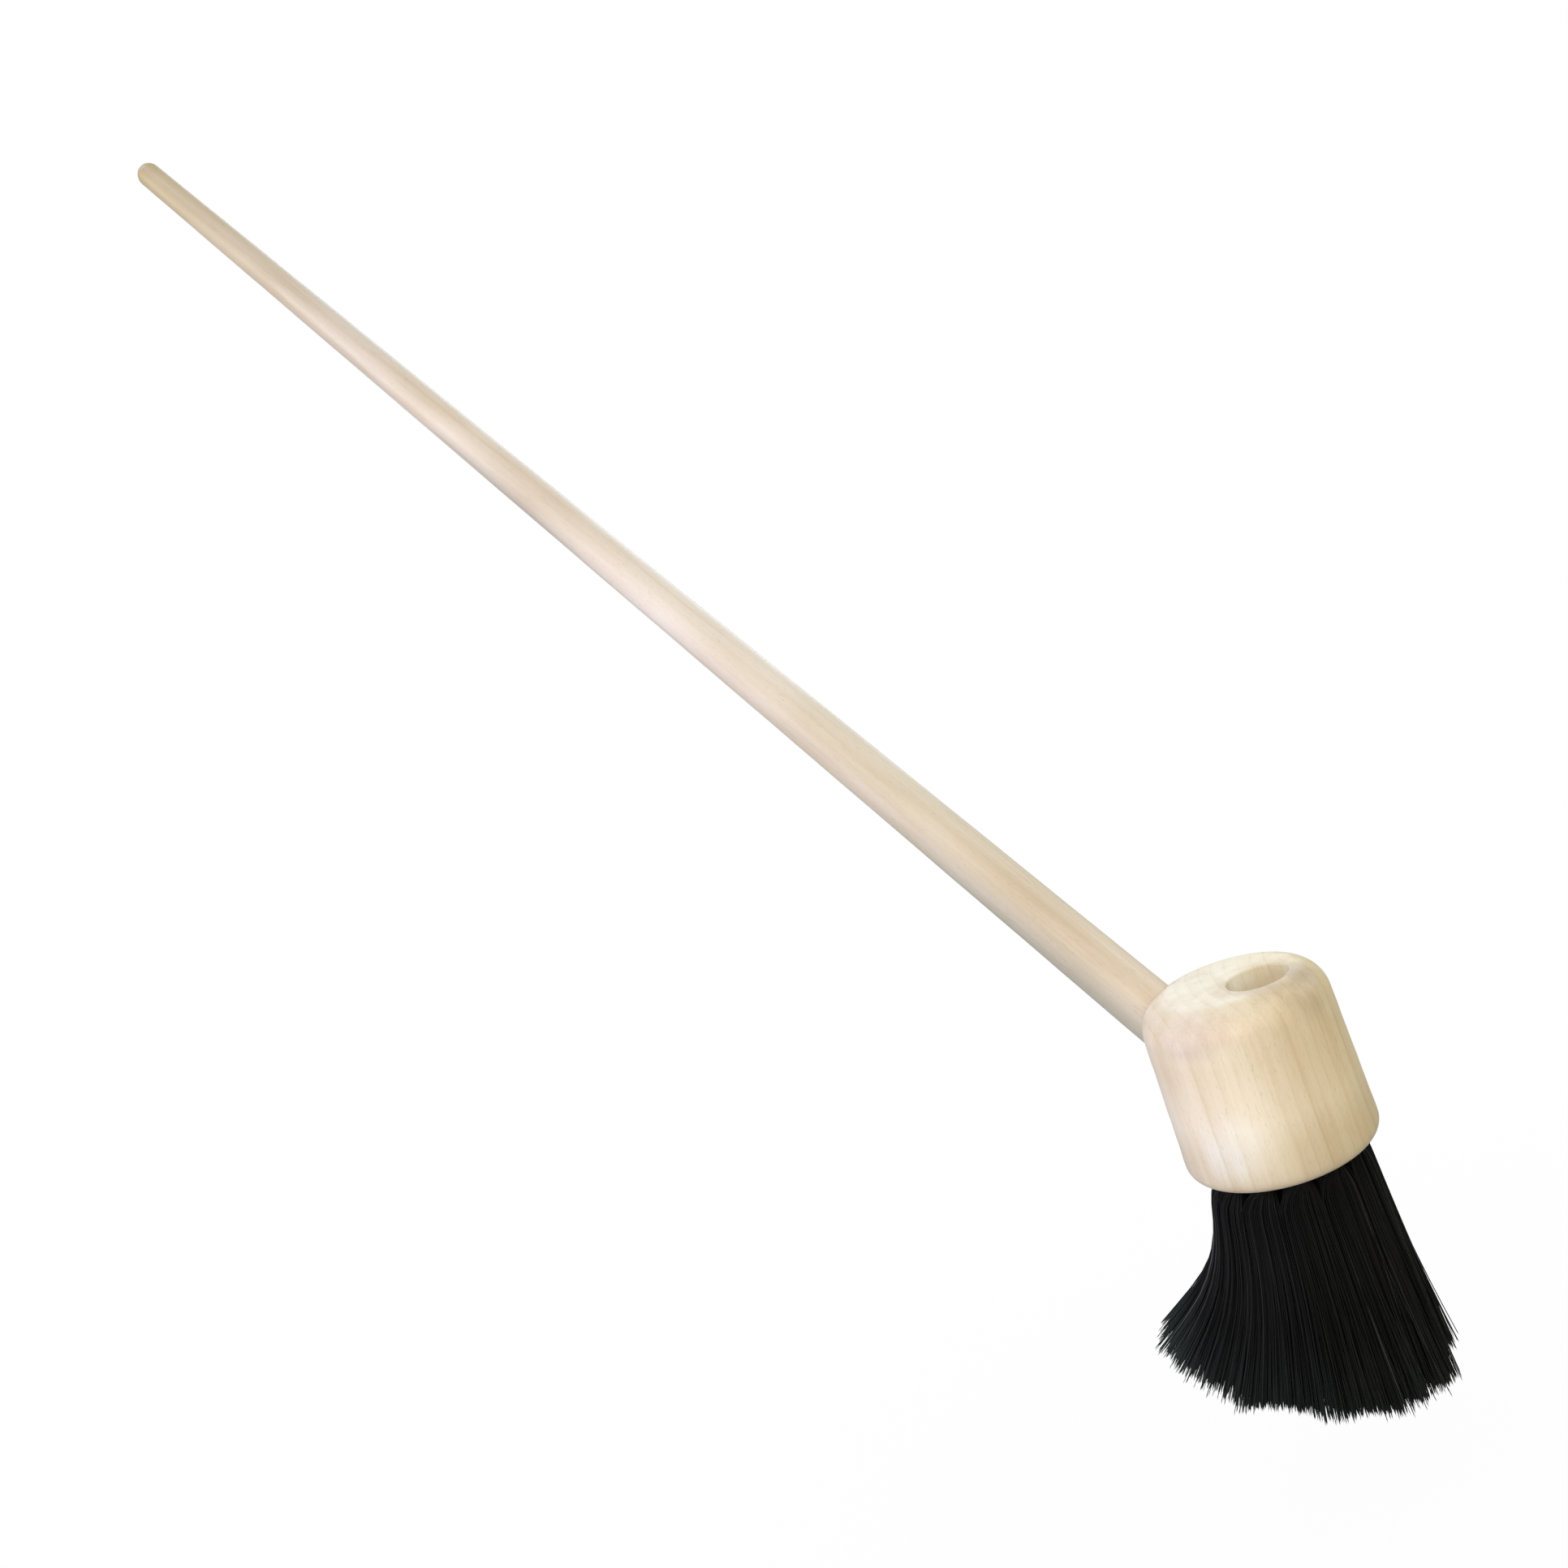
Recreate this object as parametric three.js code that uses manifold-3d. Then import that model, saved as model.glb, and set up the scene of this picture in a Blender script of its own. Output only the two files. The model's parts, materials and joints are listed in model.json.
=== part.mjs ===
// Long-handled round-head body brush.
//
// A turned wooden head carries nineteen tufts of black bristle in blind holes, each held by a wire
// staple. A tapered wooden handle is pushed into a socket drilled slantwise through the head's shoulder.
// A second, upright socket in the top of the head takes the same handle in line with the bristle.
//
// Millimetres. The origin is the centre of the head's flat top, +Z runs up the head's own axis and the
// handle leans towards -X in the XZ plane. The pieces are made with their heights counted from the
// bristle face and then lowered together by the height of the head.

import * as THREE from 'three';
import { mergeVertices } from 'three/addons/utils/BufferGeometryUtils.js';
import Module from 'manifold-3d';

// ---------------------------------------------------------------- driving dimensions

const HEAD_HEIGHT = 55;
const HEAD_FOOT_RADIUS = 29;
const HEAD_SHOULDER_RADIUS = 28;
const SHOULDER_ROUND = 10;
const FOOT_ROUND = 4.5;

const HANDLE_ANGLE = THREE.MathUtils.degToRad(38);
const HANDLE_CROSSING_HEIGHT = 13.2;
const HANDLE_REACH = 537;
const HANDLE_THICK_RADIUS = 9;
const HANDLE_THIN_RADIUS = 4.5;

const TENON_START = 14.7;
const TENON_END = 46;
const TENON_CHAMFER = 1;
const SOCKET_CLEARANCE = 0.2;
const SOCKET_FLOOR_GAP = 0.5;

const TOP_SOCKET_OFFSET = 10.4;
const TOP_SOCKET_DEPTH = 20;
const TOP_SOCKET_CHAMFER = 0.4;

const HOLE_RADIUS = 4.2;
const HOLE_DEPTH = 10.2;
const INNER_RING_RADIUS = 9.7;
const INNER_RING_COUNT = 6;
const OUTER_RING_RADIUS = 19.2;
const OUTER_RING_COUNT = 12;

const TUFT_ROOT_RADIUS = 4;
const TUFT_OPEN_RADIUS = 4.65;
const TUFT_OPEN_PART = 0.25;
const TUFT_INSIDE = 8.2;
const BRISTLE_LENGTH = 76;
const BRISTLE_SPREAD = 0.12;
const LEAN_BACK = THREE.MathUtils.degToRad(-3.5);
const LEAN_AT_ROOT = THREE.MathUtils.degToRad(15);
const LEAN_AT_TIP = THREE.MathUtils.degToRad(52);
const LEAN_POWER = 1.5;
const BEND_START = 0.1;
const BEND_END = 0.78;

const STAPLE_WIRE_RADIUS = 0.5;
const STAPLE_HALF_SPAN = 2.4;
const STAPLE_CROWN_HEIGHT = 9.2;
const STAPLE_LEG_TOP = 14.4;
const STAPLE_BEND_RADIUS = 1;
const WIRE_CLEARANCE = 0.1;

const TURNED_SEGMENTS = 88;
const BORE_SEGMENTS = 48;
const HOLE_SEGMENTS = 20;
const WIRE_SEGMENTS = 8;
const WIRE_STEPS = 14;
const ROUND_STEPS = 8;
const TUFT_SEGMENTS = 14;
const TUFT_STEPS = 9;
const STRAND_STEPS = 24;

// How far a cutting body stands out of the surface it opens.
const OVERCUT = 4;

const FIELD_RADIUS = OUTER_RING_RADIUS + HOLE_RADIUS;

// ---------------------------------------------------------------- materials

const materials = {
  headWood: () => new THREE.MeshStandardMaterial({ color: 0xead6b8, roughness: 0.55, metalness: 0 }),
  handleWood: () => new THREE.MeshStandardMaterial({ color: 0xe8d3b6, roughness: 0.5, metalness: 0 }),
  bristle: () => new THREE.MeshStandardMaterial({ color: 0x171717, roughness: 0.6, metalness: 0 }),
  steelWire: () => new THREE.MeshStandardMaterial({ color: 0xb9bcc0, roughness: 0.35, metalness: 1 }),
};

function named(name, geometry, material) {
  const mesh = new THREE.Mesh(geometry, material);
  mesh.name = name;
  return mesh;
}

// ---------------------------------------------------------------- joins and cuts

const wasm = await Module();
wasm.setup();

function toManifold(geometry) {
  const bare = geometry.clone();
  bare.deleteAttribute('normal');
  bare.deleteAttribute('uv');
  const merged = mergeVertices(bare, 1e-4);
  return new wasm.Manifold(new wasm.Mesh({
    numProp: 3,
    vertProperties: new Float32Array(merged.attributes.position.array),
    triVerts: new Uint32Array(merged.index.array),
  }));
}

function toGeometry(solid) {
  const mesh = solid.getMesh();
  const geometry = new THREE.BufferGeometry();
  geometry.setAttribute('position', new THREE.BufferAttribute(mesh.vertProperties, 3));
  geometry.setIndex(new THREE.BufferAttribute(mesh.triVerts, 1));
  geometry.computeVertexNormals();
  return geometry;
}

// ---------------------------------------------------------------- turned shapes

/** Points of a quarter round about (x, y), from one angle to another, both ends included. */
function arcPoints(x, y, radius, fromDegrees, toDegrees, steps = ROUND_STEPS) {
  const points = [];
  for (let i = 0; i <= steps; i += 1) {
    const angle = THREE.MathUtils.degToRad(fromDegrees + ((toDegrees - fromDegrees) * i) / steps);
    points.push(new THREE.Vector2(x + radius * Math.cos(angle), y + radius * Math.sin(angle)));
  }
  return points;
}

/** A solid turned about +Z from a profile of (radius, height) points that starts and ends on the axis. */
function turned(profile, segments) {
  return new THREE.LatheGeometry(profile, segments).rotateX(Math.PI / 2);
}

/** A plain round bar about +Z between two heights. */
function roundBar(radius, from, to, segments) {
  return turned([
    new THREE.Vector2(0, from),
    new THREE.Vector2(radius, from),
    new THREE.Vector2(radius, to),
    new THREE.Vector2(0, to),
  ], segments);
}

/** Moves a shape made about +Z onto the slanting handle axis. */
function ontoHandleAxis(geometry) {
  return geometry.rotateY(-HANDLE_ANGLE).translate(0, 0, HANDLE_CROSSING_HEIGHT);
}

// ---------------------------------------------------------------- tuft pattern

/** Name and place of every tuft: one in the centre, then two rings. */
function tuftPlaces() {
  const places = [{ name: 'centre', x: 0, y: 0, turn: 0 }];
  const rings = [
    { label: 'inner', radius: INNER_RING_RADIUS, count: INNER_RING_COUNT },
    { label: 'outer', radius: OUTER_RING_RADIUS, count: OUTER_RING_COUNT },
  ];
  for (const { label, radius, count } of rings) {
    for (let i = 0; i < count; i += 1) {
      const turn = (2 * Math.PI * i) / count;
      places.push({
        name: `${label}_${i + 1}`,
        x: radius * Math.cos(turn),
        y: radius * Math.sin(turn),
        turn,
      });
    }
  }
  return places;
}

// ---------------------------------------------------------------- head

function headBlank() {
  const profile = [
    new THREE.Vector2(0, 0),
    ...arcPoints(HEAD_FOOT_RADIUS - FOOT_ROUND, FOOT_ROUND, FOOT_ROUND, -90, 0),
    ...arcPoints(HEAD_SHOULDER_RADIUS - SHOULDER_ROUND, HEAD_HEIGHT - SHOULDER_ROUND, SHOULDER_ROUND, 0, 90),
    new THREE.Vector2(0, HEAD_HEIGHT),
  ];
  return turned(profile, TURNED_SEGMENTS);
}

function handleSocketCutter() {
  const radius = HANDLE_THICK_RADIUS + SOCKET_CLEARANCE;
  const floor = TENON_START - SOCKET_FLOOR_GAP;
  return ontoHandleAxis(roundBar(radius, floor, HEAD_HEIGHT + HEAD_FOOT_RADIUS, BORE_SEGMENTS));
}

function topSocketCutter() {
  const radius = HANDLE_THICK_RADIUS + SOCKET_CLEARANCE;
  const mouth = HEAD_HEIGHT - TOP_SOCKET_CHAMFER;
  const flare = TOP_SOCKET_CHAMFER + OVERCUT;
  const profile = [
    new THREE.Vector2(0, HEAD_HEIGHT - TOP_SOCKET_DEPTH),
    new THREE.Vector2(radius, HEAD_HEIGHT - TOP_SOCKET_DEPTH),
    new THREE.Vector2(radius, mouth),
    new THREE.Vector2(radius + flare, mouth + flare),
    new THREE.Vector2(0, mouth + flare),
  ];
  return turned(profile, BORE_SEGMENTS).translate(TOP_SOCKET_OFFSET, 0, 0);
}

function tuftHoleCutter({ x, y }) {
  return roundBar(HOLE_RADIUS, -OVERCUT, HOLE_DEPTH, HOLE_SEGMENTS).translate(x, y, 0);
}

/** The two channels that a staple's legs are driven into above the floor of a tuft hole. */
function stapleChannelCutters({ x, y, turn }) {
  return [-STAPLE_HALF_SPAN, STAPLE_HALF_SPAN].map((side) => (
    roundBar(STAPLE_WIRE_RADIUS + WIRE_CLEARANCE, HOLE_DEPTH - 1, STAPLE_LEG_TOP + WIRE_CLEARANCE, WIRE_SEGMENTS)
      .translate(0, side, 0)
      .rotateZ(turn)
      .translate(x, y, 0)
  ));
}

function headBlock() {
  let solid = toManifold(headBlank());
  const cutters = [handleSocketCutter(), topSocketCutter()];
  for (const place of tuftPlaces()) {
    cutters.push(tuftHoleCutter(place), ...stapleChannelCutters(place));
  }
  for (const cutter of cutters) {
    solid = solid.subtract(toManifold(cutter));
  }
  return named('head_block', toGeometry(solid), materials.headWood());
}

// ---------------------------------------------------------------- handle

function handle() {
  const profile = [
    new THREE.Vector2(0, TENON_START),
    new THREE.Vector2(HANDLE_THICK_RADIUS - TENON_CHAMFER, TENON_START),
    new THREE.Vector2(HANDLE_THICK_RADIUS, TENON_START + TENON_CHAMFER),
    new THREE.Vector2(HANDLE_THICK_RADIUS, TENON_END),
    ...arcPoints(0, HANDLE_REACH - HANDLE_THIN_RADIUS, HANDLE_THIN_RADIUS, 0, 90),
  ];
  profile[profile.length - 1].x = 0;
  const mesh = named('handle', turned(profile, BORE_SEGMENTS), materials.handleWood());
  mesh.rotation.y = -HANDLE_ANGLE;
  mesh.position.z = HANDLE_CROSSING_HEIGHT;
  return mesh;
}

// ---------------------------------------------------------------- bristle

/** Angle that a strand makes with straight down, towards -X, at a part (0 to 1) of its length. */
function leanAngle(rootX, part) {
  const across = THREE.MathUtils.clamp((FIELD_RADIUS - rootX) / (2 * FIELD_RADIUS), 0, 1);
  const root = THREE.MathUtils.lerp(LEAN_BACK, LEAN_AT_ROOT, across);
  const tip = THREE.MathUtils.lerp(LEAN_BACK, LEAN_AT_TIP, across ** LEAN_POWER);
  return THREE.MathUtils.lerp(root, tip, THREE.MathUtils.smoothstep(part, BEND_START, BEND_END));
}

/** Where the strand rooted at (rootX, rootY) of the bristle face has got to at a part of its length. */
function strandPoint(rootX, rootY, part) {
  const step = (BRISTLE_LENGTH * part) / STRAND_STEPS;
  let x = rootX;
  let z = 0;
  for (let i = 0; i < STRAND_STEPS; i += 1) {
    const angle = leanAngle(rootX, (part * (i + 0.5)) / STRAND_STEPS);
    x -= Math.sin(angle) * step;
    z -= Math.cos(angle) * step;
  }
  return new THREE.Vector3(x, rootY * (1 + BRISTLE_SPREAD * part), z);
}

/** One tuft: straight inside its hole, then it opens out a little and follows the lean of the bristle. */
function tuft({ name, x, y }) {
  const geometry = new THREE.CylinderGeometry(1, 1, TUFT_STEPS, TUFT_SEGMENTS, TUFT_STEPS);
  geometry.rotateX(Math.PI / 2);
  const position = geometry.attributes.position;
  const lastStep = TUFT_STEPS - 1;
  for (let i = 0; i < position.count; i += 1) {
    const step = Math.round(TUFT_STEPS / 2 - position.getZ(i)) - 1;
    const part = Math.max(step, 0) / lastStep;
    const opening = THREE.MathUtils.smoothstep(part, 0, TUFT_OPEN_PART);
    const radius = THREE.MathUtils.lerp(TUFT_ROOT_RADIUS, TUFT_OPEN_RADIUS, opening);
    const rootX = x + radius * position.getX(i);
    const rootY = y + radius * position.getY(i);
    const point = strandPoint(rootX, rootY, part);
    position.setXYZ(i, point.x, point.y, step < 0 ? TUFT_INSIDE : point.z);
  }
  geometry.computeVertexNormals();
  return named(`tuft_${name}`, geometry, materials.bristle());
}

// ---------------------------------------------------------------- staples

/** A U of round wire: the crown crosses the floor of the hole and both legs are driven into the wood. */
function staple({ name, x, y, turn }) {
  const bend = STAPLE_BEND_RADIUS;
  const path = new THREE.CurvePath();
  const crownLeft = new THREE.Vector3(0, -STAPLE_HALF_SPAN + bend, STAPLE_CROWN_HEIGHT);
  const crownRight = new THREE.Vector3(0, STAPLE_HALF_SPAN - bend, STAPLE_CROWN_HEIGHT);
  const legLeft = new THREE.Vector3(0, -STAPLE_HALF_SPAN, STAPLE_CROWN_HEIGHT + bend);
  const legRight = new THREE.Vector3(0, STAPLE_HALF_SPAN, STAPLE_CROWN_HEIGHT + bend);
  const cornerLeft = new THREE.Vector3(0, -STAPLE_HALF_SPAN, STAPLE_CROWN_HEIGHT);
  const cornerRight = new THREE.Vector3(0, STAPLE_HALF_SPAN, STAPLE_CROWN_HEIGHT);
  path.add(new THREE.LineCurve3(new THREE.Vector3(0, -STAPLE_HALF_SPAN, STAPLE_LEG_TOP), legLeft));
  path.add(new THREE.QuadraticBezierCurve3(legLeft, cornerLeft, crownLeft));
  path.add(new THREE.LineCurve3(crownLeft, crownRight));
  path.add(new THREE.QuadraticBezierCurve3(crownRight, cornerRight, legRight));
  path.add(new THREE.LineCurve3(legRight, new THREE.Vector3(0, STAPLE_HALF_SPAN, STAPLE_LEG_TOP)));

  const section = new THREE.Shape().absarc(0, 0, STAPLE_WIRE_RADIUS, 0, 2 * Math.PI, false);
  const geometry = new THREE.ExtrudeGeometry(section, {
    steps: WIRE_STEPS,
    curveSegments: WIRE_SEGMENTS / 2,
    bevelEnabled: false,
    extrudePath: path,
  });
  geometry.rotateZ(turn).translate(x, y, 0);
  return named(`staple_${name}`, geometry, materials.steelWire());
}

// ---------------------------------------------------------------- assembly

const pieces = new THREE.Group();
pieces.name = 'heights_from_bristle_face';
pieces.position.z = -HEAD_HEIGHT;
pieces.add(headBlock(), handle());
for (const place of tuftPlaces()) {
  pieces.add(tuft(place), staple(place));
}

const brush = new THREE.Group();
brush.name = 'body_brush';
brush.add(pieces);

export default brush;
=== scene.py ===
"""A long-handled body brush: turned head, tapered handle and nineteen tufts of black bristle.

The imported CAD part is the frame. This script replaces its wooden pieces by finely turned meshes and its
plain tuft solids by single strands, gives every piece a procedural material, and sets a plain studio.
"""

import json
import math

import bpy
import numpy as np
from mathutils import Matrix, Quaternion, Vector


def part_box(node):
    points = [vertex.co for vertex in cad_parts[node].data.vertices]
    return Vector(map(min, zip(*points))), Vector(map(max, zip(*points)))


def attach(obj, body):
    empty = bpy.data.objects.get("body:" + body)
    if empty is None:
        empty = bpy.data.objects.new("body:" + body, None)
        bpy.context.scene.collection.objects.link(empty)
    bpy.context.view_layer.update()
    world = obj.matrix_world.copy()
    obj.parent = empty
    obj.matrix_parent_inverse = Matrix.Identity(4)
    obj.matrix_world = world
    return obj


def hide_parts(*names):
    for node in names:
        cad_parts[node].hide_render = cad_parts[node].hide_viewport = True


MM = 0.001

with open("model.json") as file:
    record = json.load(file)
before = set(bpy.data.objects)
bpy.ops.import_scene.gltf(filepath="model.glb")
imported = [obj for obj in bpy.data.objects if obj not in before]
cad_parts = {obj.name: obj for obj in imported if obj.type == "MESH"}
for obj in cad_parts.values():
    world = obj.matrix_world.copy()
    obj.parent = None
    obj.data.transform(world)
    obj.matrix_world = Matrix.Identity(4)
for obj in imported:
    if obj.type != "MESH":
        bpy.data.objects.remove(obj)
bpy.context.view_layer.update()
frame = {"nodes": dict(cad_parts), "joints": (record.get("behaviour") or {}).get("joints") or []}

# ------------------------------------------------------------------ sizes taken from the frame

head_low, head_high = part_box("head_block")
FACE_Z = head_low.z
TOP_Z = head_high.z
FOOT_RADIUS = head_high.x
HEAD_HEIGHT = TOP_Z - FACE_Z

pull_out = frame["joints"][0]
HANDLE_AXIS = Vector(pull_out["axis"]).normalized()
HANDLE_CROSSING = Vector(pull_out["pos_m"])

handle_points = np.array([v.co for v in frame["nodes"]["handle"].data.vertices], float)
handle_along = (handle_points - np.array(HANDLE_CROSSING)) @ np.array(HANDLE_AXIS)
handle_radii = np.linalg.norm(
    handle_points - np.array(HANDLE_CROSSING) - np.outer(handle_along, HANDLE_AXIS), axis=1
)
HANDLE_START = float(handle_along.min())
HANDLE_REACH = float(handle_along.max())
HANDLE_THICK = float(handle_radii.max())

# ------------------------------------------------------------------ the finer shape of the wooden pieces

SHOULDER_RADIUS = 28 * MM
SHOULDER_ROUND = 10 * MM
FOOT_ROUND = 4.5 * MM

HANDLE_THIN = 4.5 * MM
TENON_END = 46 * MM
TENON_CHAMFER = 1 * MM
SOCKET_CLEARANCE = 0.2 * MM
SOCKET_FLOOR_GAP = 0.5 * MM

TOP_SOCKET_OFFSET = 10.4 * MM
TOP_SOCKET_DEPTH = 20 * MM
TOP_SOCKET_RIM_ROUND = 0.45 * MM

HOLE_RADIUS = 4.2 * MM
HOLE_DEPTH = 10.2 * MM

# The round field that the bristle grows from, and how long the bristle is outside the head.
FIELD_RADIUS = 23.4 * MM
BRISTLE_LENGTH = 76 * MM


# ------------------------------------------------------------------ small helpers


def smoothstep(low, high, value):
    t = np.clip((value - low) / (high - low), 0, 1)
    return t * t * (3 - 2 * t)


def arc(centre_r, centre_z, radius, start, end, steps):
    """Profile points (r, z) of a round, from one angle to another in degrees, both ends included."""
    angles = np.radians(np.linspace(start, end, steps + 1))
    return [(centre_r + radius * math.cos(a), centre_z + radius * math.sin(a)) for a in angles]


def line(start, end, steps):
    """Profile points of a straight stretch without its two ends."""
    share = np.linspace(0, 1, steps + 1)[1:-1]
    return [(start[0] + (end[0] - start[0]) * t, start[1] + (end[1] - start[1]) * t) for t in share]


def turned_mesh(name, profile, segments):
    """A closed mesh turned about Z from (r, z) points. The first and the last point are on the axis."""
    angles = np.linspace(0, 2 * math.pi, segments, endpoint=False)
    rings = profile[1:-1]
    verts = [(0, 0, profile[0][1])]
    for r, z in rings:
        verts += [(r * math.cos(a), r * math.sin(a), z) for a in angles]
    verts.append((0, 0, profile[-1][1]))
    last = len(verts) - 1
    faces = []
    for i in range(segments):
        j = (i + 1) % segments
        faces.append((0, 1 + j, 1 + i))
        for k in range(len(rings) - 1):
            low, high = 1 + k * segments, 1 + (k + 1) * segments
            faces.append((low + i, low + j, high + j, high + i))
        top = 1 + (len(rings) - 1) * segments
        faces.append((top + i, top + j, last))
    mesh = bpy.data.meshes.new(name)
    mesh.from_pydata(verts, [], faces)
    mesh.update()
    return mesh


def add_object(name, mesh):
    obj = bpy.data.objects.new(name, mesh)
    bpy.context.scene.collection.objects.link(obj)
    return obj


def cut(obj, cutters):
    """Cuts the cutters out of obj and removes them."""
    for cutter in cutters:
        modifier = obj.modifiers.new("cut", "BOOLEAN")
        modifier.operation = "DIFFERENCE"
        modifier.solver = "EXACT"
        modifier.object = cutter
    bpy.context.view_layer.update()
    depsgraph = bpy.context.evaluated_depsgraph_get()
    result = bpy.data.meshes.new_from_object(obj.evaluated_get(depsgraph))
    obj.modifiers.clear()
    obj.data = result
    for cutter in cutters:
        bpy.data.objects.remove(cutter)


def shade(mesh, angle):
    """Smooth shading with hard edges where two faces meet at more than the angle."""
    mesh.shade_smooth()
    mesh.set_sharp_from_angle(angle=angle)


# ------------------------------------------------------------------ material nodes

# Places of the colour sockets on a Mix node, which has other sockets for numbers and vectors.
MIX_FACTOR, MIX_FIRST, MIX_SECOND = 0, 6, 7
MIX_RESULT = 2


class Nodes:
    """Short ways to add and join the nodes of one material."""

    def __init__(self, name):
        self.material = bpy.data.materials.new(name)
        self.material.use_nodes = True
        self.tree = self.material.node_tree
        self.shader = self.tree.nodes["Principled BSDF"]

    def add(self, kind, **settings):
        node = self.tree.nodes.new(kind)
        for key, value in settings.items():
            setattr(node, key, value)
        return node

    def join(self, output, target):
        self.tree.links.new(output, target)

    def feed(self, target, value):
        if isinstance(value, bpy.types.NodeSocket):
            self.join(value, target)
        else:
            target.default_value = value

    def maths(self, operation, first, second=0.0, third=0.0):
        node = self.add("ShaderNodeMath", operation=operation)
        for socket, value in zip(node.inputs, (first, second, third)):
            self.feed(socket, value)
        return node.outputs[0]

    def mapping(self, vector, location=(0, 0, 0), rotation=(0, 0, 0), scale=(1, 1, 1)):
        node = self.add("ShaderNodeMapping")
        self.feed(node.inputs["Vector"], vector)
        node.inputs["Location"].default_value = location
        node.inputs["Rotation"].default_value = rotation
        node.inputs["Scale"].default_value = scale
        return node.outputs[0]

    def noise(self, vector, scale=1.0, detail=2.0, roughness=0.5):
        node = self.add("ShaderNodeTexNoise")
        self.feed(node.inputs["Vector"], vector)
        node.inputs["Scale"].default_value = scale
        node.inputs["Detail"].default_value = detail
        node.inputs["Roughness"].default_value = roughness
        return node.outputs["Fac"]

    def ramp(self, value, stops, ease=False):
        """A colour ramp from (position, grey or colour) stops, with straight or eased steps."""
        node = self.add("ShaderNodeValToRGB")
        node.color_ramp.interpolation = "EASE" if ease else "LINEAR"
        elements = node.color_ramp.elements
        while len(elements) < len(stops):
            elements.new(1.0)
        for element, (position, colour) in zip(elements, stops):
            element.position = position
            element.color = (*colour, 1) if isinstance(colour, tuple) else (colour, colour, colour, 1)
        self.feed(node.inputs["Fac"], value)
        return node.outputs["Color"]

    def mix(self, factor, first, second, blend="MIX"):
        node = self.add("ShaderNodeMix", data_type="RGBA", blend_type=blend)
        for key, value in ((MIX_FACTOR, factor), (MIX_FIRST, first), (MIX_SECOND, second)):
            if isinstance(value, tuple):
                value = (*value, 1)
            self.feed(node.inputs[key], value)
        return node.outputs[MIX_RESULT]

    def bump(self, height, strength, distance, normal=None):
        node = self.add("ShaderNodeBump")
        node.inputs["Strength"].default_value = strength
        node.inputs["Distance"].default_value = distance
        self.join(height, node.inputs["Height"])
        if normal is not None:
            self.join(normal, node.inputs["Normal"])
        return node.outputs["Normal"]


# ------------------------------------------------------------------ wood

# Directions in the wood's own frame, whose Z runs along the grain.
ACROSS = (1, 1, 0)
ALONG = (0, 0, 1)
ALL = (1, 1, 1)

PLAIN = (1.0, 1.0, 1.0)


def wood(name, turn, pith, pale, dark, drifts):
    """Pale close-grained hardwood whose grain runs along local Z after the turn.

    pith is where the tree's centre lies beside the piece. Each drift is (centre, axes, span, tones): the
    colour is multiplied by the tones as the distance from the centre grows over the span, and each axis
    counts as much as axes says. Noise scales are per metre: twice across the grain, then along it.
    """
    n = Nodes(name)
    place = n.add("ShaderNodeTexCoord").outputs["Object"]
    along = n.mapping(place, rotation=turn)

    rings = n.add("ShaderNodeTexWave", wave_type="RINGS", rings_direction="Z", wave_profile="SAW")
    n.join(n.mapping(along, location=tuple(-c for c in pith)), rings.inputs["Vector"])
    rings.inputs["Scale"].default_value = 80
    rings.inputs["Distortion"].default_value = 2.4
    rings.inputs["Detail"].default_value = 2
    rings.inputs["Detail Scale"].default_value = 0.25
    growth = n.ramp(rings.outputs["Fac"], [(0.0, 0.3), (0.7, 0.5), (0.93, 1.0), (1.0, 0.35)])

    fibre = n.noise(n.mapping(along, scale=(1500, 1500, 36)), detail=3, roughness=0.6)
    streak = n.noise(n.mapping(along, scale=(230, 230, 8)), detail=3, roughness=0.55)
    blotch = n.noise(n.mapping(along, scale=(55, 55, 22)), detail=2)
    fleck = n.noise(n.mapping(along, scale=(2600, 2600, 420)), detail=1)
    pores = n.ramp(fleck, [(0.0, 1.0), (0.3, 1.0), (0.37, 0.0), (1.0, 0.0)])

    depth = n.maths("MULTIPLY_ADD", growth, 0.16, n.maths("MULTIPLY", fibre, 0.3))
    depth = n.maths("MULTIPLY_ADD", streak, 0.5, depth)
    depth = n.maths("MULTIPLY_ADD", blotch, 0.6, depth)
    middle = tuple((p + d) / 2 for p, d in zip(pale, dark))
    colour = n.ramp(depth, [(0.5, pale), (0.8, middle), (1.15, dark)])
    colour = n.mix(n.maths("MULTIPLY", pores, 0.22), colour, tuple(c * 0.6 for c in dark))

    for centre, axes, span, tones in drifts:
        offset = n.mapping(along, location=tuple(-c * a for c, a in zip(centre, axes)), scale=axes)
        distance = n.add("ShaderNodeVectorMath", operation="LENGTH")
        n.join(offset, distance.inputs[0])
        share = n.add("ShaderNodeMapRange")
        n.join(distance.outputs["Value"], share.inputs["Value"])
        share.inputs["From Min"].default_value, share.inputs["From Max"].default_value = span
        is_spot = axes not in (ACROSS, ALONG)
        tone = n.ramp(share.outputs[0], tones, ease=is_spot)
        colour = n.mix(1.0, colour, tone, "MULTIPLY")

    n.join(colour, n.shader.inputs["Base Color"])
    n.join(n.ramp(fibre, [(0.25, 0.42), (0.75, 0.58)]), n.shader.inputs["Roughness"])
    n.shader.inputs["Coat Weight"].default_value = 0.25
    n.shader.inputs["Coat Roughness"].default_value = 0.36

    grain = n.bump(fibre, 0.3, 0.06 * MM)
    n.join(n.bump(pores, -0.4, 0.05 * MM, grain), n.shader.inputs["Normal"])
    return n.material


def spot(centre, radius, tone, axes=ALL):
    """A drift that is strongest round its centre and fades out at the radius."""
    return (centre, axes, (0, radius), [(0.0, tone), (0.25, tone), (1.0, PLAIN)])


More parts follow.
